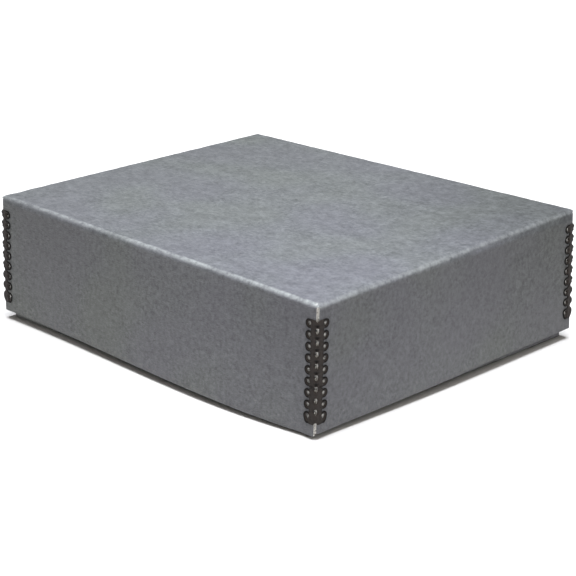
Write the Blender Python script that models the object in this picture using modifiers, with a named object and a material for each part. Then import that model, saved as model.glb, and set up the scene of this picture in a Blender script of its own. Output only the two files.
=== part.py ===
"""Flat archival storage box: a board tray and a lid of the same depth that slides down over it.

Each half is one sheet of board, scored and folded into an open tray. Its four corners are left open and
are held by folded metal stays, whose prongs go through the board and are clenched inside. A long and a short
stay, end to end, fill each corner. X is the box's length, Y its width, and it stands on z = 0 with its middle
on the Z axis.
"""

import math

import bmesh
import bpy
from mathutils import Matrix, Vector

MM = 0.001
SAME_POINT = 0.001 * MM  # points nearer than this are one
ON_LINE = 0.01 * MM  # a point nearer than this to a line lies on it

# The board
BOARD = 1.5 * MM  # thickness
FOLD_RADIUS = 2.0 * MM  # outer radius of a scored fold
FOLD_SEGMENTS = 3
CORNER_SLIT = 0.15 * MM  # from a wall's end to the line of the next wall's inner face
NOTCH_FROM = 1.8 * MM  # from the closed side's outer face to the open corners
RELIEF_LENGTH = 8.0 * MM  # each wall's free edge rises towards its corners, so that they don't catch
RELIEF_DEPTH = 1.6 * MM

# The tray and the lid
INSIDE_LENGTH = 267.0 * MM
INSIDE_WIDTH = 216.0 * MM
TRAY_HEIGHT = 77.7 * MM  # 76.2 inside
LID_PLAY = 2.0 * MM  # from the tray's outer face to the lid's inner face
LID_REST = 0.3 * MM  # from the tray's rim to the underside of the lid's top
LID_HANG = 3.3 * MM  # from the surface that the box stands on to the lid's rim

TRAY_LENGTH = INSIDE_LENGTH + 2 * BOARD
TRAY_WIDTH = INSIDE_WIDTH + 2 * BOARD
LID_LENGTH = TRAY_LENGTH + 2 * (LID_PLAY + BOARD)
LID_WIDTH = TRAY_WIDTH + 2 * (LID_PLAY + BOARD)
LID_TOP = TRAY_HEIGHT + LID_REST + BOARD
LID_HEIGHT = LID_TOP - LID_HANG

# The metal stays, as cut flat: u runs across the strip from its fold, and v along it
SHEET = 0.35 * MM  # thickness of the metal
STAY_GAP = 0.1 * MM  # from the metal to the board
PITCH = 6.78 * MM  # from one pair of petals to the next
STAYS = {"lower": (0, 3), "upper": (3, 9)}  # the first and the last pitch line of each piece
STAY_END = 0.15 * MM  # from a piece's cut end to its pitch line
PETAL_REACH = 6.2 * MM  # from the fold to a petal's centre
PETAL_RADIUS = 2.65 * MM
PETAL_SWEEP = math.radians(112)  # half of the arc that a petal's rim covers
PETAL_POINTS = 5
SPINE_HALF = 4.6 * MM  # half of the strip's width between two petals
PIERCING_RADIUS = 1.2 * MM  # of the hole that a prong is cut from
PIERCING_POINTS = 6
VENT_RADIUS = 1.75 * MM  # of the holes along the fold
VENT_POINTS = 8
BEND_RADIUS = 0.9 * MM  # of the fold, at the metal's middle
TRAY_STAYS_FROM = 8.0 * MM  # height of the lowest pitch line on the tray
LID_STAYS_FROM = 9.9 * MM  # and on the lid, with the box closed

# The prongs
PRONG_TIP = 0.4  # width of a prong's tip, as a share of its root
CLENCH = 1.3 * MM  # length of the part that is turned over inside
PRONG_ROOM = 0.12 * MM  # round a prong in its slot

STAY_OFFSET = STAY_GAP + SHEET / 2  # from the board's face to the metal's middle
PRONG_LENGTH = 2 * STAY_OFFSET + BOARD  # from the middle of the stay to the middle of its clenched tip
PRONG_ROOT = PETAL_REACH - PIERCING_RADIUS * math.cos(math.pi / PIERCING_POINTS)
HALF_ARC = BEND_RADIUS * math.pi / 4

CORNERS = {  # signs of x and y, and the quarter turns that bring a stay there
    "front_right": (1, -1, 0),
    "back_right": (1, 1, 1),
    "back_left": (-1, 1, 2),
    "front_left": (-1, -1, 3),
}


def collection(name):
    made = bpy.data.collections.new(name)
    bpy.context.scene.collection.children.link(made)
    return made


def material(name, colour, roughness, metallic):
    made = bpy.data.materials.new(name)
    made.use_nodes = True
    shader = made.node_tree.nodes["Principled BSDF"]
    shader.inputs["Base Color"].default_value = (*colour, 1)
    shader.inputs["Roughness"].default_value = roughness
    shader.inputs["Metallic"].default_value = metallic
    return made


def linked(name, data, into):
    made = bpy.data.objects.new(name, data)
    into.objects.link(made)
    return made


def mesh_from(bm, name):
    mesh = bpy.data.meshes.new(name)
    bm.to_mesh(mesh)
    bm.free()
    return mesh


def block(bm, low, high):
    """Adds a box between two corners."""
    low, high = Vector(low), Vector(high)
    place = Matrix.Translation((low + high) / 2) @ Matrix.Diagonal((high - low).to_4d())
    place[3][3] = 1
    bmesh.ops.create_cube(bm, size=1, matrix=place)


def folded_tray(name, length, width, height, board, into):
    """A sheet folded into a tray of the outer size given, its floor on z = 0, not yet cut at the corners."""
    bm = bmesh.new()
    block(bm, (-length / 2, -width / 2, 0), (length / 2, width / 2, height))
    open_side = [f for f in bm.faces if f.normal.z > 0.5]
    bmesh.ops.delete(bm, geom=open_side, context="FACES_ONLY")
    folds = [e for e in bm.edges if all(v.co.z < height / 2 for v in e.verts)]
    bmesh.ops.bevel(
        bm, geom=folds, offset=FOLD_RADIUS, segments=FOLD_SEGMENTS, profile=0.5, affect="EDGES"
    )
    for axis, half in ((0, length / 2), (1, width / 2)):
        for side in (-1, 1):
            plane = Vector((0, 0, 0))
            plane[axis] = side * (half - RELIEF_LENGTH)
            normal = Vector((0, 0, 0))
            normal[axis] = 1
            walls = [f for f in bm.faces if abs(f.normal.z) < 0.1 and abs(f.normal[axis]) < 0.5]
            around = {e for f in walls for e in f.edges} | {v for f in walls for v in f.verts}
            bmesh.ops.bisect_plane(bm, geom=[*walls, *around], plane_co=plane, plane_no=normal)
    for v in bm.verts:
        at_corner = abs(v.co.x) > length / 2 - BOARD and abs(v.co.y) > width / 2 - BOARD
        if at_corner and v.co.z > height / 2:
            v.co.z -= RELIEF_DEPTH
    tray = linked(name, mesh_from(bm, name), into)
    tray.data.materials.append(board)
    thickness = tray.modifiers.new("board", "SOLIDIFY")
    thickness.thickness = BOARD
    thickness.offset = -1
    thickness.use_even_offset = True
    return tray


def corner_matrix(corner, length, width, height):
    """Carries a stay from the front right corner, with its pitch line 0 on z = 0, to this corner of a box."""
    sign_x, sign_y, turns = CORNERS[corner]
    place = Matrix.Translation((sign_x * length / 2, sign_y * width / 2, height))
    return place @ Matrix.Rotation(turns * math.pi / 2, 4, "Z")


def corner_cutter(name, length, width, height, stays_from, into):
    """Opens a tray's four corners and pierces its walls for the prongs."""
    bm = bmesh.new()
    inset = BOARD + CORNER_SLIT
    past = BOARD
    root = bent(PRONG_ROOT, 0, 0).y
    across = SHEET / 2 + PRONG_ROOM
    upright = PIERCING_RADIUS / 2 + PRONG_ROOM
    for corner in CORNERS:
        start = len(bm.verts)
        block(bm, (-inset, -past, NOTCH_FROM), (past, inset, height + past))
        for row in range(STAYS["upper"][1]):
            z = stays_from + (row + 0.5) * PITCH
            low, high = z - upright, z + upright
            block(bm, (-root - across, -past, low), (-root + across, BOARD + past, high))
            block(bm, (-BOARD - past, root - across, low), (past, root + across, high))
        bm.verts.ensure_lookup_table()
        place = corner_matrix(corner, length, width, 0)
        bmesh.ops.transform(bm, matrix=place, verts=bm.verts[start:])
    cutter = linked(name, mesh_from(bm, name), into)
    cutter.hide_render = True
    cutter.display_type = "WIRE"
    return cutter


def cut(target, cutter):
    boolean = target.modifiers.new("corners", "BOOLEAN")
    boolean.operation = "DIFFERENCE"
    boolean.solver = "EXACT"
    boolean.object = cutter


def circle(centre_u, centre_v, radius, points, first=0.0):
    turn = 2 * math.pi / points
    return [
        (centre_u + radius * math.cos(first + i * turn), centre_v + radius * math.sin(first + i * turn))
        for i in range(points)
    ]


def stay_edge(side, first, last):
    """One long edge of the flat strip, upwards: a petal for each pitch, and the spine between them."""
    points = []
    for row in range(first, last):
        if row > first:
            points.append((side * SPINE_HALF, row * PITCH))
        for i in range(PETAL_POINTS):
            angle = PETAL_SWEEP * (2 * i / (PETAL_POINTS - 1) - 1)
            u = PETAL_REACH + PETAL_RADIUS * math.cos(angle)
            points.append((side * u, (row + 0.5) * PITCH + PETAL_RADIUS * math.sin(angle)))
    return points


def stay_end(line, inwards):
    """A cut end of the strip, from +u to -u. The cut goes through a hole, so it leaves half of one."""
    cut_at = line * PITCH + inwards * STAY_END
    reach = math.sqrt(VENT_RADIUS**2 - STAY_END**2)
    hole = circle(0, 0, VENT_RADIUS, VENT_POINTS)
    notch = [(u, line * PITCH + inwards * v) for u, v in hole[1 : VENT_POINTS // 2]]
    return [(SPINE_HALF, cut_at), (reach, cut_at), *notch, (-reach, cut_at), (-SPINE_HALF, cut_at)]


def stay_outline(first, last):
    right = stay_edge(1, first, last)
    left = stay_edge(-1, first, last)
    return [*right, *stay_end(last, -1), *reversed(left), *reversed(stay_end(first, 1))]


def stay_holes(first, last):
    turn = math.pi / PIERCING_POINTS
    for row in range(first, last):
        for side in (-1, 1):
            yield circle(side * PETAL_REACH, (row + 0.5) * PITCH, PIERCING_RADIUS, PIERCING_POINTS, turn)
        if row > first:
            yield circle(0, row * PITCH, VENT_RADIUS, VENT_POINTS)


def bent(u, v, w):
    """Where a point of the flat strip goes when it is folded over the front right corner; w is outwards."""
    on_arc = max(-HALF_ARC, min(HALF_ARC, u))
    angle = (on_arc / HALF_ARC - 1) * math.pi / 4
    out = Vector((math.cos(angle), math.sin(angle)))
    along = Vector((-math.sin(angle), math.cos(angle)))
    centre = Vector((STAY_OFFSET - BEND_RADIUS, BEND_RADIUS - STAY_OFFSET))
    x, y = centre + (BEND_RADIUS + w) * out + (u - on_arc) * along
    return Vector((x, y, v))


def flat_sheet(name, outlines, into):
    """One face bounded by the first outline, with the others as holes in it, as a mesh."""
    curve = bpy.data.curves.new(name, "CURVE")
    curve.dimensions = "2D"
    curve.fill_mode = "BOTH"
    for outline in outlines:
        spline = curve.splines.new("POLY")
        spline.points.add(len(outline) - 1)
        for point, (u, v) in zip(spline.points, outline):
            point.co = (u, v, 0, 1)
        spline.use_cyclic_u = True
    drawn = linked(name, curve, into)
    bpy.context.view_layer.update()
    graph = bpy.context.evaluated_depsgraph_get()
    mesh = bpy.data.meshes.new_from_object(drawn.evaluated_get(graph))
    bpy.data.objects.remove(drawn)
    bpy.data.curves.remove(curve)
    return mesh


def add_prongs(bm):
    """Turns a tongue down from the side of each piercing that faces the fold, and clenches it outwards."""
    roots = [
        e for e in bm.edges if e.is_boundary and all(abs(abs(v.co.x) - PRONG_ROOT) < ON_LINE for v in e.verts)
    ]
    for root in roots:
        side = math.copysign(1, root.verts[0].co.x)
        middle = (root.verts[0].co.y + root.verts[1].co.y) / 2
        edge = root
        for step in ((0, -PRONG_LENGTH, 1.0), (side * CLENCH, 0, PRONG_TIP)):
            made = bmesh.ops.extrude_edge_only(bm, edges=[edge])["geom"]
            edge = next(g for g in made if isinstance(g, bmesh.types.BMEdge))
            for v in edge.verts:
                v.co.x += step[0]
                v.co.y = middle + (v.co.y - middle) * step[2]
                v.co.z += step[1]


def stay_mesh(name, first, last, enamel, into):
    """A metal stay at the front right corner, in the height that its pitch lines give."""
    mesh = flat_sheet(name, [stay_outline(first, last), *stay_holes(first, last)], into)
    bm = bmesh.new()
    bm.from_mesh(mesh)
    bpy.data.meshes.remove(mesh)
    bmesh.ops.remove_doubles(bm, verts=bm.verts, dist=SAME_POINT)
    for u in (-HALF_ARC, 0, HALF_ARC):
        everything = [*bm.verts, *bm.edges, *bm.faces]
        bmesh.ops.bisect_plane(bm, geom=everything, plane_co=(u, 0, 0), plane_no=(1, 0, 0))
    add_prongs(bm)
    for v in bm.verts:
        v.co = bent(*v.co)
    bmesh.ops.recalc_face_normals(bm, faces=bm.faces)
    made = mesh_from(bm, name)
    made.materials.append(enamel)
    return made


def add_stays(half, length, width, stays_from, meshes, parent, into):
    for corner in CORNERS:
        for piece, mesh in meshes.items():
            stay = linked(f"{half}_stay_{corner}_{piece}", mesh, into)
            stay.parent = parent
            stay.matrix_basis = corner_matrix(corner, length, width, stays_from)
            thickness = stay.modifiers.new("sheet", "SOLIDIFY")
            thickness.solidify_mode = "NON_MANIFOLD"
            thickness.nonmanifold_thickness_mode = "CONSTRAINTS"
            thickness.thickness = SHEET
            thickness.offset = 0


def main():
    for old in list(bpy.data.objects):
        bpy.data.objects.remove(old)
    box = collection("archival_box")
    cutters = collection("cutters")
    board = material("grey_board", (0.165, 0.175, 0.180), 0.9, 0.0)
    enamel = material("stay_enamel", (0.022, 0.018, 0.017), 0.35, 0.6)

    tray_frame = linked("tray_frame", None, box)
    lid_frame = linked("lid_frame", None, box)

    tray = folded_tray("tray_board", TRAY_LENGTH, TRAY_WIDTH, TRAY_HEIGHT, board, box)
    tray.parent = tray_frame
    cut(tray, corner_cutter("tray_cutter", TRAY_LENGTH, TRAY_WIDTH, TRAY_HEIGHT, TRAY_STAYS_FROM, cutters))

    lid = folded_tray("lid_board", LID_LENGTH, LID_WIDTH, LID_HEIGHT, board, box)
    lid.parent = lid_frame
    lid.location.z = LID_TOP
    lid.rotation_euler.x = math.pi
    top_stay = LID_TOP - (LID_STAYS_FROM + STAYS["upper"][1] * PITCH)
    lid_cutter = corner_cutter("lid_cutter", LID_LENGTH, LID_WIDTH, LID_HEIGHT, top_stay, cutters)
    lid_cutter.location.z = LID_TOP
    lid_cutter.rotation_euler.x = math.pi
    cut(lid, lid_cutter)

    meshes = {
        piece: stay_mesh(f"{piece}_stay", first, last, enamel, box) for piece, (first, last) in STAYS.items()
    }
    add_stays("tray", TRAY_LENGTH, TRAY_WIDTH, TRAY_STAYS_FROM, meshes, tray_frame, box)
    add_stays("lid", LID_LENGTH, LID_WIDTH, LID_STAYS_FROM, meshes, lid_frame, box)


main()
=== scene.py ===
"""Looks of the flat archival storage box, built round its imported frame.

Both halves are folded board: mottled blue-grey paper outside, off-white paper inside, and a pale core
that shows at every cut edge. The stays are thin steel in brown-black enamel, dished round their holes,
with prongs through the board. Lengths are in metres, in the frame's own axes.
"""

import math

import bmesh
import bpy
from mathutils import Matrix, Vector, noise


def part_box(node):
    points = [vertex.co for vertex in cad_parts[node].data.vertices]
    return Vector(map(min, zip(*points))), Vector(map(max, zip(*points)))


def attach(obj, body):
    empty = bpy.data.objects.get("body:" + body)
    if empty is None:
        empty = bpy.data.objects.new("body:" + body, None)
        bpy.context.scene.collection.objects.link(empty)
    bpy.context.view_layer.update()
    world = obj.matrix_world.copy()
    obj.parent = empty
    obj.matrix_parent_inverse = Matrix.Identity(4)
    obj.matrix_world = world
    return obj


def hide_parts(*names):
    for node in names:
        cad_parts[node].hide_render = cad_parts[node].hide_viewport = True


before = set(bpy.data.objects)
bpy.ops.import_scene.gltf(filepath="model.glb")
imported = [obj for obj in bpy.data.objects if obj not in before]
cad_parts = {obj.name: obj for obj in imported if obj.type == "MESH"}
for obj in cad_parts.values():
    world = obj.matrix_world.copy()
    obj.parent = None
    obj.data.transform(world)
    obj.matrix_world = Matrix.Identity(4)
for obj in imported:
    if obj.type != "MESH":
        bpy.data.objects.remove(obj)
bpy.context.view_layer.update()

MM = 0.001
CUT_DIST = 1e-6  # a cut takes the points this near to it, so that it leaves no twin points

# The board, as in the frame
BOARD = 1.5 * MM
CORNER_SLIT = 0.15 * MM
NOTCH_FROM = 1.8 * MM
# and softer and finer than in the frame
FOLD_RADIUS = 3.4 * MM
FOLD_SEGMENTS = 10
GRID = 3.2 * MM  # of the flat panels
CORNER_GRID = (1.8, 2.25, 2.9, 3.65, 4.6, 6.3, 8.5, 11.0)  # mm from a corner, where the rim is rounded

# What is cut out of the board at a corner
SLOT_HALF = (0.3 * MM, 0.72 * MM)  # across and upright, for one prong
DIMPLE = (1.95 * MM, 0.8 * MM)  # radius and depth of the hollow that each petal is pressed into
DIMPLE_CLEAR = 0.13 * MM  # from the middle of a hollow out to the wall's face
NICK_LOW, NICK_HIGH = (-1.2 * MM, 1.2 * MM), (0.5 * MM, 3.8 * MM)  # behind each vent, in plan
NICK_HALF = 0.6 * MM  # upright

# How the board has set
BOW_FROM = 11.0 * MM  # from a corner: the stay holds the wall flat up to here
RIM_BAND = 8.0 * MM  # height of the strip of wall that follows the rim
RIM_CORNER = 2.6 * MM  # radius of a wall's free corner
RIM_RISE_OVER = 90.0 * MM  # from a corner
LEAN_OVER = 110.0 * MM  # from the corner that leans
PANEL_UNEVEN = 0.22 * MM
FOLD_UNEVEN = 0.45 * MM
EDGE_HELD = 25.0 * MM  # from a fold: a panel is flatter up to here
UNEVEN_OVER = 70 * MM  # size of the panels' waves
UNEVEN_AT = Vector((3.1, 7.7, 1.3))  # picks the waves
ROPE_OVER = (7 * MM, 19 * MM)  # size of the folds' two waves
ROPE_SHARE = 0.6  # of the longer wave

# How each half has set. A bow is by wall: how far at the rim, and a power that moves it towards the
# wall's far end. A corner is how far it sits up, and how far the rims of its x and y walls are cut back.
LID_FLARE = 0.8 * MM
LID_LEAN = -1.0 * MM  # at the rim of the front right corner
LID_BOWS = {
    ("y", -1): (6.3 * MM, 1.8),
    ("y", 1): (1.5 * MM, 1.0),
    ("x", 1): (1.3 * MM, 1.0),
    ("x", -1): (0.8 * MM, 1.0),
}
LID_CORNERS = {
    (1, -1): (0.0, 0.0, -1.4 * MM),
    (1, 1): (5.2 * MM, -1.5 * MM, 0.0),
    (-1, 1): (0.0, 0.0, 0.0),
    (-1, -1): (2.7 * MM, 0.0, 0.0),
}
TRAY_BOWS = {(axis, sign): (0.4 * MM, 1.0) for axis in "xy" for sign in (-1, 1)}

# How rubbed the folds are, with a painted highlight along their crests: how much, and the degrees of turn
# where it is most and where it ends
RUBBED_AND_LIT = {"long": (0.9, 34, 86), "short": (0.55, 58, 110)}
RUBBED_AND_LIT_DOWN_TO = 1.35 * FOLD_RADIUS  # from the panel's face
RUBBED_AND_LIT_FALL = 0.45  # of it is lost over one length of the box from the front right corner
RUBBED_AND_LIT_CORNER = (0.7, 6 * MM)  # more at that corner: how much, and over what distance

# The stays, as in the frame: u runs across the flat strip from its fold, and v along it
SHEET = 0.35 * MM
EDGE_ROUNDING = 0.07 * MM
STAY_GAP = 0.1 * MM
ROWS = {"lower": (0, 3), "upper": (3, 9)}
STAY_END = 0.15 * MM
PETAL_REACH = 6.2 * MM
PETAL_RADIUS = 2.65 * MM
PETAL_SWEEP = math.radians(112)
SPINE_HALF = 4.6 * MM
PIERCING_RADIUS = 1.2 * MM
VENT_RADIUS = 1.75 * MM
BEND_RADIUS = 0.9 * MM
PRONG_ROOT = PETAL_REACH - PIERCING_RADIUS * math.cos(math.radians(30))
STAY_OFFSET = STAY_GAP + SHEET / 2
HALF_ARC = BEND_RADIUS * math.pi / 4

# Signs of x and y, and quarter turns from the front right corner
CORNERS = {
    "front_right": (1, -1, 0),
    "back_right": (1, 1, 1),
    "back_left": (-1, 1, 2),
    "front_left": (-1, -1, 3),
}

lid_low, lid_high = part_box("lid_board")
tray_low, tray_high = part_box("tray_board")
stay_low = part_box("lid_stay_front_right_lower")[0].z - STAY_END
stay_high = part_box("lid_stay_front_right_upper")[1].z + STAY_END
PITCH = (stay_high - stay_low) / ROWS["upper"][1]


# ---------------------------------------------------------------- small helpers


def linked(name, mesh):
    made = bpy.data.objects.new(name, mesh)
    bpy.context.scene.collection.objects.link(made)
    return made


def mesh_from(bm, name):
    mesh = bpy.data.meshes.new(name)
    bm.to_mesh(mesh)
    bm.free()
    return mesh


def evaluated_mesh(source):
    """The mesh of an object after its modifiers; the object itself is removed."""
    bpy.context.view_layer.update()
    graph = bpy.context.evaluated_depsgraph_get()
    mesh = bpy.data.meshes.new_from_object(source.evaluated_get(graph))
    bpy.data.objects.remove(source)
    return mesh


def block(bm, low, high, material_index=0):
    low, high = Vector(low), Vector(high)
    place = Matrix.Translation((low + high) / 2) @ Matrix.Diagonal((high - low).to_4d())
    place[3][3] = 1
    made = bmesh.ops.create_cube(bm, size=1, matrix=place)
    for face in {f for v in made["verts"] for f in v.link_faces}:
        face.material_index = material_index


def cut(bm, place, normal, **settings):
    """Cuts every face along a plane."""
    everything = [*bm.verts, *bm.edges, *bm.faces]
    bmesh.ops.bisect_plane(bm, geom=everything, dist=CUT_DIST, plane_co=place, plane_no=normal, **settings)


def smooth_step(t):
    t = max(0.0, min(1.0, t))
    return t * t * (3 - 2 * t)


def interpolated(points, at):
    """The value at a place along a rising list of (place, value) pairs."""
    for (a, low), (b, high) in zip(points, points[1:]):
        if at <= b:
            return low + (high - low) * max(0.0, at - a) / (b - a)
    return points[-1][1]


# ---------------------------------------------------------------- how a stay is folded


def bent(u, v, w):
    """Where a point of the flat strip goes when it is folded over the front right corner; w is outwards."""
    on_arc = max(-HALF_ARC, min(HALF_ARC, u))
    angle = (on_arc / HALF_ARC - 1) * math.pi / 4
    out = Vector((math.cos(angle), math.sin(angle)))
    along = Vector((-math.sin(angle), math.cos(angle)))
    centre = Vector((STAY_OFFSET - BEND_RADIUS, BEND_RADIUS - STAY_OFFSET))
    x, y = centre + (BEND_RADIUS + w) * out + (u - on_arc) * along
    return Vector((x, y, v))


# ---------------------------------------------------------------- the folded board


def cut_planes(half, spacing):
    """Places of the cuts across a panel of this half length: even, and closer near its two ends."""
    count = int(2 * half / spacing)
    even = [half * (2 * i / count - 1) for i in range(1, count)]
    near = [s * (half - d * MM) for d in CORNER_GRID for s in (-1, 1)]
    return sorted([p for p in even if abs(p) < half - CORNER_GRID[-1] * MM - spacing / 3] + near)


def open_shell(name, length, width, height):
    """The outer face of a folded half, floor down on z = 0, in a fine grid."""
    bm = bmesh.new()
    block(bm, (-length / 2, -width / 2, 0), (length / 2, width / 2, height))
    bmesh.ops.delete(bm, geom=[f for f in bm.faces if f.normal.z > 0.5], context="FACES_ONLY")
    folds = [e for e in bm.edges if all(v.co.z < height / 2 for v in e.verts)]
    bmesh.ops.bevel(bm, geom=folds, offset=FOLD_RADIUS, segments=FOLD_SEGMENTS, profile=0.5, affect="EDGES")
    walls = [height * i / int(height / GRID) for i in range(1, int(height / GRID))]
    for axis, places in enumerate((cut_planes(length / 2, GRID), cut_planes(width / 2, GRID), walls)):
        normal = Vector((0, 0, 0))
        normal[axis] = 1
        for place in places:
            cut(bm, normal * place, normal)
    bmesh.ops.remove_doubles(bm, verts=bm.verts, dist=CUT_DIST)
    return mesh_from(bm, name)


def hollow(bm, centre, squash):
    """Adds a ball flattened along one axis, which presses a round hollow into a wall."""
    made = bmesh.ops.create_uvsphere(bm, u_segments=20, v_segments=12, radius=DIMPLE[0])
    place = Matrix.Translation(centre) @ Matrix.Diagonal((*squash, 1))
    bmesh.ops.transform(bm, matrix=place, verts=made["verts"])
    for face in {f for v in made["verts"] for f in v.link_faces}:
        face.material_index = 2


def corner_slots(bm, z):
    """Adds the slots for one row of prongs, which leave bare core."""
    root = bent(PRONG_ROOT, 0, 0).y
    across, upright = SLOT_HALF
    low, high = z - upright, z + upright
    block(bm, (-root - across, -BOARD, low), (-root + across, 2 * BOARD, high), 2)
    block(bm, (-2 * BOARD, root - across, low), (BOARD, root + across, high), 2)


def corner_hollows(bm, z):
    """Adds the hollows for one row of petals, and the nick behind the vent above them."""
    reach = bent(PETAL_REACH, 0, 0).y
    squash = (DIMPLE[1] + DIMPLE_CLEAR) / DIMPLE[0]
    hollow(bm, (-reach, -DIMPLE_CLEAR, z), (1, squash, 1))
    hollow(bm, (DIMPLE_CLEAR, reach, z), (squash, 1, 1))
    vent = z + PITCH / 2
    # the nick's faces take the grey of the facing rather than the pale core, as painted shade in the recess
    block(bm, (*NICK_LOW, vent - NICK_HALF), (*NICK_HIGH, vent + NICK_HALF))


def cutter(name, length, width, height, stays_from, add_row, opens):
    """What is taken out of the four corners, in rows up the stays, and the open corners themselves."""
    bm = bmesh.new()
    inset = BOARD + CORNER_SLIT
    for sign_x, sign_y, turns in CORNERS.values():
        start = len(bm.verts)
        if opens:
            block(bm, (-inset, -BOARD, NOTCH_FROM), (BOARD, inset, height + BOARD), 2)
        for row in range(ROWS["upper"][1]):
            add_row(bm, stays_from + (row + 0.5) * PITCH)
        bm.verts.ensure_lookup_table()
        place = Matrix.Translation((sign_x * length / 2, sign_y * width / 2, 0))
        turn = Matrix.Rotation(turns * math.pi / 2, 4, "Z")
        bmesh.ops.transform(bm, matrix=place @ turn, verts=bm.verts[start:])
    return linked(name, mesh_from(bm, name))


def folded_half(name, length, width, height, stays_from):
    """One half as a closed board with its corners cut: facing, lining and core are materials 0, 1 and 2."""
    half = linked(name, open_shell(name, length, width, height))
    cutters = [
        cutter(name + "_hollows", length, width, height, stays_from, corner_hollows, False),
        cutter(name + "_slots", length, width, height, stays_from, corner_slots, True),
    ]
    for made in (half, *cutters):
        for _ in range(3):
            made.data.materials.append(None)
    thickness = half.modifiers.new("board", "SOLIDIFY")
    thickness.thickness = BOARD
    thickness.offset = -1
    thickness.use_even_offset = True
    thickness.material_offset = 1
    thickness.material_offset_rim = 2
    for made in cutters:
        boolean = half.modifiers.new("cut", "BOOLEAN")
        boolean.operation = "DIFFERENCE"
        boolean.solver = "MANIFOLD"
        boolean.object = made
    mesh = evaluated_mesh(half)
    for made in cutters:
        bpy.data.objects.remove(made)
    return mesh


class Half:
    """The tray or the lid: its ideal box, and how handling has set it."""

    def __init__(self, name, low, high, closed_up, flare, bows, corners, lean):
        self.name = name
        self.length, self.width, self.height = high - low
        self.fold = high.z if closed_up else low.z
        self.up = -1 if closed_up else 1  # from the fold to the rim
        self.flare = flare
        self.bows = bows
        self.corners = corners
        self.lean = lean

    def share(self, z):
        """How far down its wall a point is: 0 at the fold, and 1 at the rim."""
        return self.up * (z - self.fold) / self.height

    def tilted(self, place):
        """Where a point of the board or of a stay goes."""
        x, y, z = place
        share = self.share(z)
        from_lean = math.hypot(x - self.length / 2, y + self.width / 2)
        lean = share * (1 - smooth_step(from_lean / LEAN_OVER))
        new_x = x * (1 + self.flare * share / (self.length / 2)) + self.lean * lean
        new_y = y * (1 + self.flare * share / (self.width / 2)) + self.lean * lean
        lift = 0.0
        for (sign_x, sign_y), (raised, _, _) in self.corners.items():
            lift += raised * (0.5 + sign_x * x / self.length) * (0.5 + sign_y * y / self.width)
        return Vector((new_x, new_y, z + lift))

    def bow(self, wall, along, half):
        """How far a wall's rim stands out at a place along it: not at all under the stays."""
        amount, skew = self.bows.get(wall, (0.0, 1.0))
        reach = half - BOW_FROM
        if abs(along) >= reach:
            return 0.0
        return amount * math.sin(math.pi * ((along + reach) / (2 * reach)) ** skew)

    def settled(self, place):
        """Where a point of the board goes."""
        x, y, z = place
        share = self.share(z)
        sign_x, sign_y = math.copysign(1, x), math.copysign(1, y)
        wall = 1.2 * BOARD  # the board, with some to spare
        on_x_wall = abs(x) > self.length / 2 - wall
        on_y_wall = abs(y) > self.width / 2 - wall
        held_x = smooth_step((self.length / 2 - abs(x)) / EDGE_HELD)
        held_y = smooth_step((self.width / 2 - abs(y)) / EDGE_HELD)
        uneven = PANEL_UNEVEN * noise.noise(Vector((x, y, z)) / UNEVEN_OVER + UNEVEN_AT)
        on_fold = 1 - smooth_step(abs(share * self.height - 0.3 * FOLD_RADIUS) / FOLD_RADIUS)
        on_fold *= 1 - min(1.0, 4 * held_x * held_y)
        rope = noise.noise(Vector((x, y, 0)) / ROPE_OVER[0])
        rope += ROPE_SHARE * noise.noise(Vector((x, y, 9 * MM)) / ROPE_OVER[1])
        z += self.up * abs(FOLD_UNEVEN * rope) * on_fold
        walls_from = FOLD_RADIUS / self.height
        if share < 1.05 * walls_from and not (on_x_wall or on_y_wall):
            z += uneven * held_x * held_y
        if on_x_wall and share > walls_from:
            x += sign_x * share * (self.bow(("x", sign_x), y, self.width / 2) + uneven * held_y)
        if on_y_wall and share > walls_from:
            y += sign_y * share * (self.bow(("y", sign_y), x, self.length / 2) + uneven * held_x)
        near_rim = smooth_step(1 - (1 - share) * self.height / RIM_BAND)
        if near_rim > 0:
            across = self.width / 2 - abs(place[1]) if on_x_wall else self.length / 2 - abs(place[0])
            cut_back = self.corners.get((sign_x, sign_y), (0.0, 0.0, 0.0))[1 if on_x_wall else 2]
            z -= self.up * near_rim * rim_rise(max(0.0, across), cut_back)
        return self.tilted((x, y, z))


def rim_rise(from_corner, cut_back):
    """How far the rim is cut back at this distance from a corner, beyond the rest of the wall."""
    past = max(0.0, RIM_CORNER - from_corner)
    rounding = RIM_CORNER - math.sqrt(max(0.0, RIM_CORNER**2 - past**2))
    return rounding + cut_back * (1 - smooth_step(from_corner / RIM_RISE_OVER))


def paint_attributes(mesh, half):
    """Writes how worn each outer point is, with the painted highlight of the fold's crest, at the folds only,
    and how deep in the board each point is.
    """
    wear_and_sheen = mesh.attributes.new("wear_and_sheen", "FLOAT", "POINT")
    depth = mesh.attributes.new("depth", "FLOAT", "POINT")
    outer = {v for face in mesh.polygons if face.material_index == 0 for v in face.vertices}
    near = Vector((half.length / 2, -half.width / 2, half.fold))
    for v in mesh.vertices:
        level = math.hypot(v.normal.x, v.normal.y)
        if v.index in outer and half.share(v.co.z) * half.height < RUBBED_AND_LIT_DOWN_TO:
            from_near = (v.co - near).length
            amount, most, end = RUBBED_AND_LIT["long" if abs(v.normal.y) > abs(v.normal.x) else "short"]
            rubbed_and_lit = amount * (1 - RUBBED_AND_LIT_FALL * smooth_step(from_near / half.length))
            rubbed_and_lit += RUBBED_AND_LIT_CORNER[0] * (1 - smooth_step(from_near / RUBBED_AND_LIT_CORNER[1]))
            turn = math.degrees(math.atan2(level, abs(v.normal.z)))
            shape = smooth_step(turn / most) if turn < most else 1 - smooth_step((turn - most) / (end - most))
            wear_and_sheen.data[v.index].value = rubbed_and_lit * shape
        inside = (half.length / 2 - abs(v.co.x), half.width / 2 - abs(v.co.y))
        depth.data[v.index].value = min(1.0, min(*inside, half.share(v.co.z) * half.height) / BOARD)


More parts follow.
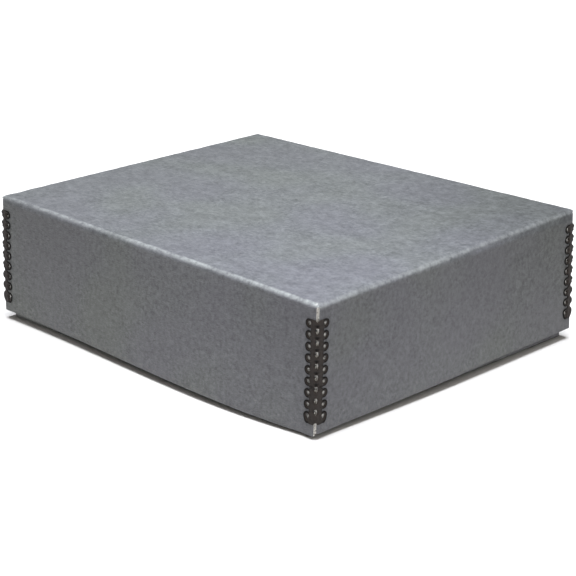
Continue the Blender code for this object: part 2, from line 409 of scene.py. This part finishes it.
def add_board(half, stays_from, materials):
    """Builds a half's board, sets it as it has set, and puts it in the place of the frame's own."""
    place = Matrix.Translation((0, 0, half.fold))
    if half.up < 0:
        place = place @ Matrix.Rotation(math.pi, 4, "X")
    mesh = folded_half(half.name, half.length, half.width, half.height, stays_from)
    mesh.transform(place)
    paint_attributes(mesh, half)
    for v in mesh.vertices:
        v.co = half.settled(v.co)
    for i, material in enumerate(materials):
        mesh.materials[i] = material
    mesh.shade_smooth()
    mesh.set_sharp_from_angle(angle=math.radians(40))
    board = linked(f"{half.name}_folded_board", mesh)
    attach(board, half.name)
    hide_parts(f"{half.name}_board")


# ---------------------------------------------------------------- materials


class Nodes:
    """Short calls for the nodes that the materials share."""

    def __init__(self, name):
        self.material = bpy.data.materials.new(name)
        self.material.use_nodes = True
        self.tree = self.material.node_tree
        self.shader = self.tree.nodes["Principled BSDF"]
        self.place = self.add("ShaderNodeTexCoord").outputs["Object"]

    def add(self, kind, **settings):
        node = self.tree.nodes.new(kind)
        for key, value in settings.items():
            setattr(node, key, value)
        return node

    def join(self, source, target):
        self.tree.links.new(source, target)

    def stretched(self, scale, turn=(0, 0, 0)):
        """The place scaled and turned, for grain that runs one way."""
        node = self.add("ShaderNodeMapping")
        node.inputs["Scale"].default_value = scale
        node.inputs["Rotation"].default_value = turn
        self.join(self.place, node.inputs["Vector"])
        return node.outputs["Vector"]

    def noise(self, scale, detail=2.0, roughness=0.5, place=None):
        node = self.add("ShaderNodeTexNoise")
        node.inputs["Scale"].default_value = scale
        node.inputs["Detail"].default_value = detail
        node.inputs["Roughness"].default_value = roughness
        self.join(place or self.place, node.inputs["Vector"])
        return node.outputs["Fac"]

    def part(self, vector, axis):
        node = self.add("ShaderNodeSeparateXYZ")
        self.join(vector, node.inputs[0])
        return node.outputs[axis]

    def tinted(self, colour, factor):
        """A colour made lighter or darker by a factor."""
        node = self.add("ShaderNodeVectorMath", operation="SCALE")
        self.join(colour, node.inputs[0])
        self.join(factor, node.inputs["Scale"])
        return node.outputs["Vector"]

    def distance(self, point):
        node = self.add("ShaderNodeVectorMath", operation="DISTANCE")
        node.inputs[1].default_value = point
        self.join(self.place, node.inputs[0])
        return node.outputs["Value"]

    def spread(self, value, low, high, to_low=0.0, to_high=1.0, smooth=False):
        node = self.add("ShaderNodeMapRange")
        if smooth:
            node.interpolation_type = "SMOOTHSTEP"
        for socket, number in zip(("From Min", "From Max", "To Min", "To Max"), (low, high, to_low, to_high)):
            node.inputs[socket].default_value = number
        self.join(value, node.inputs["Value"])
        return node.outputs["Result"]

    def math(self, operation, a, b):
        node = self.add("ShaderNodeMath", operation=operation)
        for socket, value in zip(node.inputs, (a, b)):
            if isinstance(value, (int, float)):
                socket.default_value = value
            else:
                self.join(value, socket)
        return node.outputs["Value"]

    def mix(self, factor, a, b, blend="MIX"):
        """Two colours mixed; each is a colour of three numbers or a socket."""
        node = self.add("ShaderNodeMix", data_type="RGBA", blend_type=blend)
        for socket, value in zip((node.inputs[0], node.inputs[6], node.inputs[7]), (factor, a, b)):
            if isinstance(value, tuple):
                socket.default_value = (*value, 1)
            elif isinstance(value, (int, float)):
                socket.default_value = value
            else:
                self.join(value, socket)
        return node.outputs[2]

    def attribute(self, name):
        return self.add("ShaderNodeAttribute", attribute_name=name).outputs["Fac"]

    def bump(self, height, strength, distance):
        node = self.add("ShaderNodeBump")
        node.inputs["Strength"].default_value = strength
        node.inputs["Distance"].default_value = distance
        self.join(height, node.inputs["Height"])
        self.join(node.outputs["Normal"], self.shader.inputs["Normal"])

    def finish(self, colour, roughness, **sockets):
        self.join(colour, self.shader.inputs["Base Color"])
        self.join(roughness, self.shader.inputs["Roughness"])
        for socket, value in sockets.items():
            self.shader.inputs[socket.replace("_", " ")].default_value = value
        return self.material


def fibres(n, turn):
    """Short fibres lying one way, as a value that is 1 on a fibre."""
    drawn_out = n.noise(1.0, 1.0, place=n.stretched((300, 3200, 3200), turn))
    return n.spread(drawn_out, 0.62, 0.72)


def paper_facing(painted_light_at, painted_shade_at):
    """Mottled felt-like paper, with painted light: a little paler round one corner of the lid and darker
    round another.
    """
    dark_grey, pale_grey = (0.071, 0.075, 0.081), (0.201, 0.213, 0.230)
    felt_grey, cloud_grey = (0.084, 0.089, 0.094), (0.167, 0.175, 0.190)
    violet_grey, green_grey = (0.136, 0.134, 0.164), (0.138, 0.150, 0.140)
    pale_fibre, dark_fibre = (0.276, 0.284, 0.295), (0.042, 0.044, 0.048)
    rubbed_and_lit_grey, bare_and_lit_board = (0.320, 0.341, 0.344), (0.78, 0.78, 0.77)
    # tints of painted light: one away from the panel's bright corner, and a warmer one for the walls
    painted_light_hue, painted_wall_warmth = (1.005, 1.015, 0.955), (1.005, 0.98, 0.953)
    n = Nodes("paper_facing")
    fine = n.noise(420, 4, 0.68)
    felt = n.noise(210, 2, 0.5)
    cloud = n.noise(60, 3, 0.55)
    wide = n.noise(15, 1)
    colour = n.mix(n.spread(fine, 0.28, 0.72), dark_grey, pale_grey)
    colour = n.mix(n.spread(felt, 0.35, 0.65, 0.0, 0.26), colour, felt_grey)
    colour = n.mix(n.spread(cloud, 0.35, 0.68, 0.0, 0.34), colour, cloud_grey)
    colour = n.mix(n.spread(wide, 0.42, 0.62, 0.0, 0.34), colour, violet_grey)
    colour = n.mix(n.spread(wide, 0.48, 0.32, 0.0, 0.30), colour, green_grey)
    pale = n.math("MAXIMUM", fibres(n, (0.3, 0.2, 0.5)), fibres(n, (1.1, 0.7, 2.1)))
    dark = n.math("MAXIMUM", fibres(n, (2.0, 1.3, 1.2)), fibres(n, (0.6, 2.4, 2.9)))
    colour = n.mix(n.math("MULTIPLY", pale, 0.28), colour, pale_fibre)
    colour = n.mix(n.math("MULTIPLY", dark, 0.36), colour, dark_fibre)
    # the top panel is more blotched than the walls, which are paler towards the bottom, as painted light
    # bounced from the floor, and a little warmer, as a painted tint of the light on them
    height = n.part(n.place, "Z")
    panel = n.spread(height, painted_light_at[2] - 3 * MM, painted_light_at[2] - 1 * MM)
    wall = n.math("SUBTRACT", 1.0, panel)
    blotch = n.noise(1.0, 3, 0.6, n.stretched((135, 165, 165)))
    blotch = n.math("SUBTRACT", n.spread(blotch, 0.28, 0.72, 0.55, 1.45), 1.0)
    blotch = n.math("ADD", n.math("MULTIPLY", blotch, n.math("MULTIPLY", panel, 0.36)), 1.0)
    # painted light: the panel darkens away from its bright corner, and the walls darken upwards as painted
    # floor bounce
    painted_falloff = n.math("MULTIPLY", n.spread(n.distance(painted_light_at), 0.0, 0.34, 0.0, 0.24), panel)
    upper = n.math("MULTIPLY", n.spread(height, 0.0, painted_light_at[2], 0.0, 0.19), wall)
    tone_and_painted_light = n.math("MULTIPLY", blotch, n.math("SUBTRACT", 1.0, n.math("ADD", painted_falloff, upper)))
    # painted shade round the dark corner, fainter on the walls
    painted_corner_shade = n.spread(n.distance(painted_shade_at), 0.0, 0.16, 0.26, 0.0, smooth=True)
    painted_corner_shade = n.math("MULTIPLY", painted_corner_shade, n.spread(panel, 0, 1, 0.45, 1.0))
    tone_and_painted_light = n.math("SUBTRACT", tone_and_painted_light, painted_corner_shade)
    colour = n.tinted(colour, tone_and_painted_light)
    # painted light: the hue shifts away from the bright corner, and the walls take a warmer painted tint
    colour = n.mix(n.spread(n.distance(painted_light_at), 0.06, 0.30), colour, painted_light_hue, "MULTIPLY")
    colour = n.mix(wall, colour, painted_wall_warmth, "MULTIPLY")
    # the folds are rubbed in patches, and through to the board at the corner; their pale crests are also a
    # painted highlight
    patchy = n.spread(n.noise(330, 3, 0.7), 0.30, 0.62, 0.25, 1.0)
    patchy = n.math("ADD", patchy, n.spread(cloud, 0.3, 0.7, -0.3, 0.3))
    worn_and_lit = n.math("MULTIPLY", n.attribute("wear_and_sheen"), patchy)
    # worn paper and painted highlight on the folds' crests
    colour = n.mix(n.spread(worn_and_lit, 0.12, 0.95, 0.0, 0.9), colour, rubbed_and_lit_grey)
    colour = n.mix(n.spread(worn_and_lit, 0.95, 1.5), colour, bare_and_lit_board)
    n.bump(n.math("ADD", fine, n.math("MULTIPLY", pale, 0.5)), 0.55, 0.22 * MM)
    roughness = n.spread(cloud, 0.3, 0.7, 0.78, 0.92)
    return n.finish(colour, roughness, Specular_IOR_Level=0.2)


def paper_lining():
    """Off-white paper, hardly mottled."""
    dark_cream, pale_cream = (0.62, 0.60, 0.55), (0.74, 0.72, 0.67)
    cloud_cream, fleck_cream = (0.66, 0.63, 0.56), (0.50, 0.47, 0.42)
    n = Nodes("paper_lining")
    fine = n.noise(420, 3, 0.6)
    cloud = n.noise(40, 3)
    colour = n.mix(n.spread(fine, 0.3, 0.7), dark_cream, pale_cream)
    colour = n.mix(n.spread(cloud, 0.35, 0.7, 0.0, 0.35), colour, cloud_cream)
    flecks = fibres(n, (0.8, 0.4, 1.5))
    colour = n.mix(n.math("MULTIPLY", flecks, 0.35), colour, fleck_cream)
    n.bump(fine, 0.25, 0.10 * MM)
    return n.finish(colour, n.spread(cloud, 0.3, 0.7, 0.80, 0.93), Specular_IOR_Level=0.25)


def board_core():
    """Pale board in plies, with specks of dirt. Its outermost ply is the grey of the facing."""
    ply_low, ply_high = (0.66, 0.645, 0.61), (0.88, 0.865, 0.83)
    dirt_brown, outer_grey = (0.12, 0.114, 0.105), (0.14, 0.145, 0.15)
    n = Nodes("board_core")
    depth = n.attribute("depth")
    plies = n.noise(1.0, 2, place=n.stretched((900, 900, 900)))
    colour = n.mix(n.spread(plies, 0.3, 0.7), ply_low, ply_high)
    dirt = n.noise(760, 3, 0.65)
    colour = n.mix(n.spread(dirt, 0.50, 0.60, 0.0, 0.9), colour, dirt_brown)
    colour = n.mix(n.spread(depth, 0.30, 0.60, 1.0, 0.0), colour, outer_grey)
    n.bump(plies, 0.5, 0.15 * MM)
    return n.finish(colour, n.spread(plies, 0.3, 0.7, 0.85, 0.97), Specular_IOR_Level=0.2)


def stay_enamel():
    """Brown-black enamel, blacker on the petals' rims than on the spine, with painted shade in the pits and
    at the joint.
    """
    dark_brown, pale_brown = (0.021, 0.0175, 0.0158), (0.034, 0.0285, 0.0255)
    rubbed_brown, rim_and_shade_black = (0.042, 0.0355, 0.0325), (0.0025, 0.002, 0.002)
    n = Nodes("stay_enamel")
    speckle = n.noise(900, 2)
    cloud = n.noise(160, 3, 0.6)
    colour = n.mix(n.spread(speckle, 0.3, 0.7), dark_brown, pale_brown)
    colour = n.mix(n.spread(cloud, 0.45, 0.72, 0.0, 0.6), colour, rubbed_brown)
    thick = n.attribute("thick")
    # painted shade: black in the pits and at the joint, and blacker rims
    colour = n.mix(n.math("MULTIPLY", thick, 0.92), colour, rim_and_shade_black)
    n.bump(n.math("ADD", speckle, cloud), 0.4, 0.08 * MM)
    roughness = n.math("ADD", n.spread(cloud, 0.3, 0.7, 0.40, 0.58), n.math("MULTIPLY", thick, 0.12))
    return n.finish(colour, roughness, Specular_IOR_Level=0.10)


# ---------------------------------------------------------------- the visible stays


SPOKES = {"petal": 10, "side": 3, "vent": 5, "fold": 3}  # of half a cell, by the edge that they reach
RINGS = (1.2, 1.35, 1.55, 1.8, 2.05, 2.3, 2.5, 2.65)  # mm from a petal's centre
REACHES = (0.25, 0.5, 0.7, 0.86, 1.0)  # shares of the way on from there to the cell's edge
# How far from the middle of a hole, and how far out of the flat, in mm
PETAL_PROFILE = ((1.2, -0.42), (1.4, -0.34), (1.8, -0.06), (2.05, 0.07), (2.3, 0.10), (2.65, -0.04))
VENT_PROFILE = ((1.75, -0.42), (2.1, -0.20), (2.6, -0.04), (3.1, 0.0))
PETAL_SKIRT = (-0.05, 0.8 * MM)  # round a petal: how far out in mm, and over what distance that fades
# Over each vent of a long stay there is a pit: how far above it, half its width and height, and its depth
PIT = (2.9 * MM, 2.1 * MM, 1.15 * MM, 0.45 * MM)
RIM_DARK_FROM = (1.75 * MM, 2.15 * MM)  # from a petal's centre: the enamel gets blacker over this
JOINT_SHADE = (2.1 * MM, 1.15 * MM)  # beside the vent where the two stays meet, painted shadow of the gap there: how far out, and how wide
FOLD_CUTS = (-1, -0.66, -0.33, 0, 0.33, 0.66, 1)  # in half arcs from the fold's middle
PRONG_PATH = (  # how far out, how far in, and the width left, from a prong's root to its tip
    (0.0, 0.9, 1.0),
    (0.0, 1.7, 1.0),
    (0.08, 1.95, 0.95),
    (0.32, 2.08, 0.85),
    (0.85, 2.08, 0.62),
    (1.35, 2.02, 0.30),
)
PRONG_ANGLE = math.radians(31)
OUTER_TRIM = 0.7 * MM  # cut off each end of a filled corner
END_TAB = (2.4 * MM, 1.6 * MM)  # the short stay's free end is drawn out: from where, and how far


def cell_edge():
    """Half the edge of one petal's share of the strip, about the petal's centre, from its tip to the fold."""
    half_pitch = PITCH / 2
    points = []
    for i in range(SPOKES["petal"] + 1):
        angle = PETAL_SWEEP * i / SPOKES["petal"]
        points.append((PETAL_RADIUS * math.cos(angle), PETAL_RADIUS * math.sin(angle)))
    for i in range(SPOKES["side"] + 1):
        u = SPINE_HALF + (VENT_RADIUS - SPINE_HALF) * i / SPOKES["side"]
        points.append((u - PETAL_REACH, half_pitch))
    for i in range(1, SPOKES["vent"] + 1):
        angle = math.pi / 2 * i / SPOKES["vent"]
        u, v = VENT_RADIUS * math.cos(angle), VENT_RADIUS * math.sin(angle)
        points.append((u - PETAL_REACH, half_pitch - v))
    last = half_pitch - VENT_RADIUS
    for i in range(1, SPOKES["fold"] + 1):
        points.append((-PETAL_REACH, last * (1 - i / SPOKES["fold"])))
    return points


def cell_spokes():
    """For each spoke of a cell, its points from the piercing's rim out to the cell's edge."""
    half = cell_edge()
    edge = half + [(u, -v) for u, v in reversed(half[1:-1])]
    spokes = []
    for u, v in edge:
        reach = math.hypot(u, v)
        radii = [r * MM for r in RINGS]
        radii += [PETAL_RADIUS + (reach - PETAL_RADIUS) * share for share in REACHES]
        spokes.append([(u / reach * r, v / reach * r) for r in radii])
    return spokes


def rise(u, v):
    """How far the strip stands out of its flat plane: dished round each hole."""
    row = math.floor(v / PITCH)
    from_petal = math.hypot(abs(u) - PETAL_REACH, v - (row + 0.5) * PITCH)
    from_vent = math.hypot(u, v - round(v / PITCH) * PITCH)
    if from_petal > PETAL_RADIUS:
        w = PETAL_SKIRT[0] * (1 - smooth_step((from_petal - PETAL_RADIUS) / PETAL_SKIRT[1]))
    else:
        w = interpolated(PETAL_PROFILE, from_petal / MM)
    w += interpolated(VENT_PROFILE, from_vent / MM)
    return w * MM - PIT[3] * pit(u, v)


def pit(u, v):
    """How deep in the pit above a vent a point of the strip is."""
    row = math.floor(v / PITCH)
    if row < ROWS["upper"][0]:
        return 0.0
    return 1 - smooth_step(math.hypot(u / PIT[1], (v - row * PITCH - PIT[0]) / PIT[2]) ** 2)


def enamel_darkening(u, v):
    """How black the enamel is: 1 on the petals' rims, and in the pits and at the joint as painted shade, and
    0 elsewhere.
    """
    row = math.floor(v / PITCH)
    out, up = abs(u) - PETAL_REACH, v - (row + 0.5) * PITCH
    radius = math.hypot(out, up)
    on_rim = smooth_step((radius - RIM_DARK_FROM[0]) / (RIM_DARK_FROM[1] - RIM_DARK_FROM[0]))
    on_rim *= smooth_step((out / max(radius, MM) + 0.75) / 0.5)
    from_joint = abs(v - ROWS["upper"][0] * PITCH - JOINT_SHADE[1])
    # painted shadow of the gap where the two stays meet
    joint_shade = (1 - smooth_step(from_joint / JOINT_SHADE[1])) * smooth_step(abs(u) / JOINT_SHADE[0] - 0.5)
    joint_shade *= 1 - smooth_step((abs(u) - 1.7 * JOINT_SHADE[0]) / JOINT_SHADE[1])
    return max(on_rim, joint_shade, pit(u, v))


def flat_stay(first, last, trim_low, trim_high):
    """The strip's rows from first to last, flat and without thickness, trimmed at its two ends."""
    spokes = cell_spokes()
    bm = bmesh.new()
    for row in range(first, last):
        for side in (-1, 1):
            centre_v = (row + 0.5) * PITCH
            rings = []
            for spoke in spokes:
                rings.append([bm.verts.new((side * (PETAL_REACH + u), centre_v + v, 0)) for u, v in spoke])
            for i, spoke in enumerate(rings):
                after = rings[(i + 1) % len(rings)]
                for j in range(len(spoke) - 1):
                    bm.faces.new((spoke[j], spoke[j + 1], after[j + 1], after[j]))
    bmesh.ops.remove_doubles(bm, verts=bm.verts, dist=0.002 * MM)
    bmesh.ops.dissolve_degenerate(bm, edges=bm.edges, dist=0.002 * MM)
    for share in FOLD_CUTS:
        cut(bm, (share * HALF_ARC, 0, 0), (1, 0, 0))
    for place, direction in ((first * PITCH + trim_low, -1), (last * PITCH - trim_high, 1)):
        cut(bm, (0, place, 0), (0, direction, 0), clear_outer=True)
    bmesh.ops.remove_doubles(bm, verts=bm.verts, dist=0.003 * MM)
    bmesh.ops.recalc_face_normals(bm, faces=bm.faces)
    return bm


def add_prongs(bm):
    """Turns a tongue down from the rim of each piercing, on the fold's side, and clenches it outwards."""
    roots = {}
    for e in bm.edges:
        if not e.is_boundary:
            continue
        middle = (e.verts[0].co + e.verts[1].co) / 2
        side = math.copysign(1, middle.x)
        row = math.floor(middle.y / PITCH)
        u, v = side * middle.x - PETAL_REACH, middle.y - (row + 0.5) * PITCH
        if math.hypot(u, v) < PIERCING_RADIUS * 1.02 and abs(math.atan2(v, -u)) < PRONG_ANGLE:
            roots.setdefault((side, row), []).append(e)
    for (side, row), edges in roots.items():
        middle = (row + 0.5) * PITCH
        before = 1.0
        for outwards, inwards, width in PRONG_PATH:
            made = bmesh.ops.extrude_edge_only(bm, edges=edges)["geom"]
            edges = [g for g in made if isinstance(g, bmesh.types.BMEdge)]
            for v in {v for e in edges for v in e.verts}:
                across = (v.co.y - middle) * (width / before)
                v.co = (side * (PRONG_ROOT + outwards * MM), middle + across, -inwards * MM)
            before = width


def stay_mesh(name, piece, enamel):
    """One stay over the front right corner, with its prongs, as sheet metal with rounded edges."""
    first, last = ROWS[piece]
    trim_low = OUTER_TRIM if piece == "lower" else STAY_END
    trim_high = OUTER_TRIM if piece == "upper" else STAY_END
    bm = flat_stay(first, last, trim_low, trim_high)
    thick = bm.verts.layers.float.new("thick")
    for v in bm.verts:
        v[thick] = enamel_darkening(v.co.x, v.co.y)
        v.co.z = rise(v.co.x, v.co.y)
        if piece == "lower" and v.co.y < END_TAB[0]:
            v.co.y -= END_TAB[1] * smooth_step(1 - (v.co.y - trim_low) / END_TAB[0])
    add_prongs(bm)
    for v in bm.verts:
        v.co = bent(*v.co)
    bmesh.ops.recalc_face_normals(bm, faces=bm.faces)
    flat = linked(name, mesh_from(bm, name))
    thickness = flat.modifiers.new("sheet", "SOLIDIFY")
    thickness.thickness = SHEET
    thickness.offset = 0
    rounding = flat.modifiers.new("edges", "BEVEL")
    rounding.width = EDGE_ROUNDING
    rounding.segments = 2
    rounding.limit_method = "ANGLE"
    rounding.angle_limit = math.radians(55)
    mesh = evaluated_mesh(flat)
    mesh.materials.clear()
    mesh.materials.append(enamel)
    mesh.shade_smooth()
    mesh.set_sharp_from_angle(angle=math.radians(60))
    return mesh


def add_stays(half, stays_from, meshes):
    """Puts both stays at each corner of a half, set as its board is, in the place of the frame's own."""
    for corner, (sign_x, sign_y, turns) in CORNERS.items():
        place = Matrix.Translation((sign_x * half.length / 2, sign_y * half.width / 2, stays_from))
        place = place @ Matrix.Rotation(turns * math.pi / 2, 4, "Z")
        for piece, mesh in meshes.items():
            own = mesh.copy()
            own.transform(place)
            for v in own.vertices:
                v.co = half.tilted(v.co)
            stay = linked(f"{half.name}_{corner}_{piece}_stay", own)
            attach(stay, half.name)
            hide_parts(f"{half.name}_stay_{corner}_{piece}")


# ---------------------------------------------------------------- floor, light and camera


FLOOR_RADIUS = 6.0
WORLD_STRENGTH = 0.05
# From where, strength, how wide in degrees, and colour: the key light is overhead, and the other in front
SUNS = {
    "key": ((0.05, -0.05, 1.6), 6.4, 30, (0.985, 1.0, 1.035)),
    "front": ((0.62, -0.42, 0.62), 1.35, 60, (1.0, 0.95, 0.89)),
}
# The photo's camera, from the fit of the lid
CAMERA_AZIMUTH = math.radians(44.738)
CAMERA_ELEVATION = math.radians(19.442)
CAMERA_ROLL = math.radians(0.120)
CAMERA_DISTANCE = 1307.8 * MM
CAMERA_TARGET = (1.745 * MM, 1.729 * MM, 26.484 * MM)
CAMERA_LENS, CAMERA_SENSOR = 129.9, 36  # mm


def add_floor():
    dark_floor, pale_floor = (0.582, 0.578, 0.574), (0.600, 0.596, 0.592)
    n = Nodes("floor_paint")
    grain = n.noise(60, 2)
    colour = n.mix(n.spread(grain, 0.3, 0.7), dark_floor, pale_floor)
    material = n.finish(colour, n.spread(grain, 0.3, 0.7, 0.9, 0.95), Specular_IOR_Level=0.0)
    bm = bmesh.new()
    bmesh.ops.create_circle(bm, cap_ends=True, radius=FLOOR_RADIUS, segments=96)
    floor = linked("floor", mesh_from(bm, "floor"))
    floor.data.materials.append(material)


def add_lights():
    world = bpy.data.worlds.new("studio")
    world.use_nodes = True
    background = world.node_tree.nodes["Background"]
    background.inputs["Color"].default_value = (1, 1, 1, 1)
    background.inputs["Strength"].default_value = WORLD_STRENGTH
    bpy.context.scene.world = world
    for name, (source, strength, degrees, colour) in SUNS.items():
        light = bpy.data.lights.new(name, "SUN")
        light.energy = strength
        light.angle = math.radians(degrees)
        light.color = colour
        made = linked(name, light)
        made.location = source
        made.rotation_euler = (-Vector(source)).to_track_quat("-Z", "Y").to_euler()


def add_camera():
    across = math.cos(CAMERA_ELEVATION)
    back = Vector(
        (math.sin(CAMERA_AZIMUTH) * across, -math.cos(CAMERA_AZIMUTH) * across, math.sin(CAMERA_ELEVATION))
    )
    camera = bpy.data.cameras.new("camera")
    camera.lens = CAMERA_LENS
    camera.sensor_width = CAMERA_SENSOR
    made = linked("camera", camera)
    made.location = Vector(CAMERA_TARGET) + back * CAMERA_DISTANCE
    turned = (-back).to_track_quat("-Z", "Y").to_matrix() @ Matrix.Rotation(CAMERA_ROLL, 3, "Z")
    made.rotation_euler = turned.to_euler()
    bpy.context.scene.camera = made


# ---------------------------------------------------------------- putting it together


def main():
    front_right = (lid_high.x, lid_low.y, lid_high.z)
    materials = (paper_facing(front_right, lid_high), paper_lining(), board_core())
    enamel = stay_enamel()

    lid = Half("lid", lid_low, lid_high, True, LID_FLARE, LID_BOWS, LID_CORNERS, LID_LEAN)
    tray = Half("tray", tray_low, tray_high, False, 0.0, TRAY_BOWS, {}, 0.0)
    tray_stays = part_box("tray_stay_front_right_lower")[0].z - STAY_END
    add_board(lid, lid_high.z - stay_high, materials)
    add_board(tray, tray_stays, materials)

    meshes = {piece: stay_mesh(piece + "_stay", piece, enamel) for piece in ROWS}
    add_stays(lid, stay_low, meshes)
    add_stays(tray, tray_stays, meshes)

    add_floor()
    add_lights()
    add_camera()
    bpy.context.scene.view_settings.view_transform = "Standard"


main()
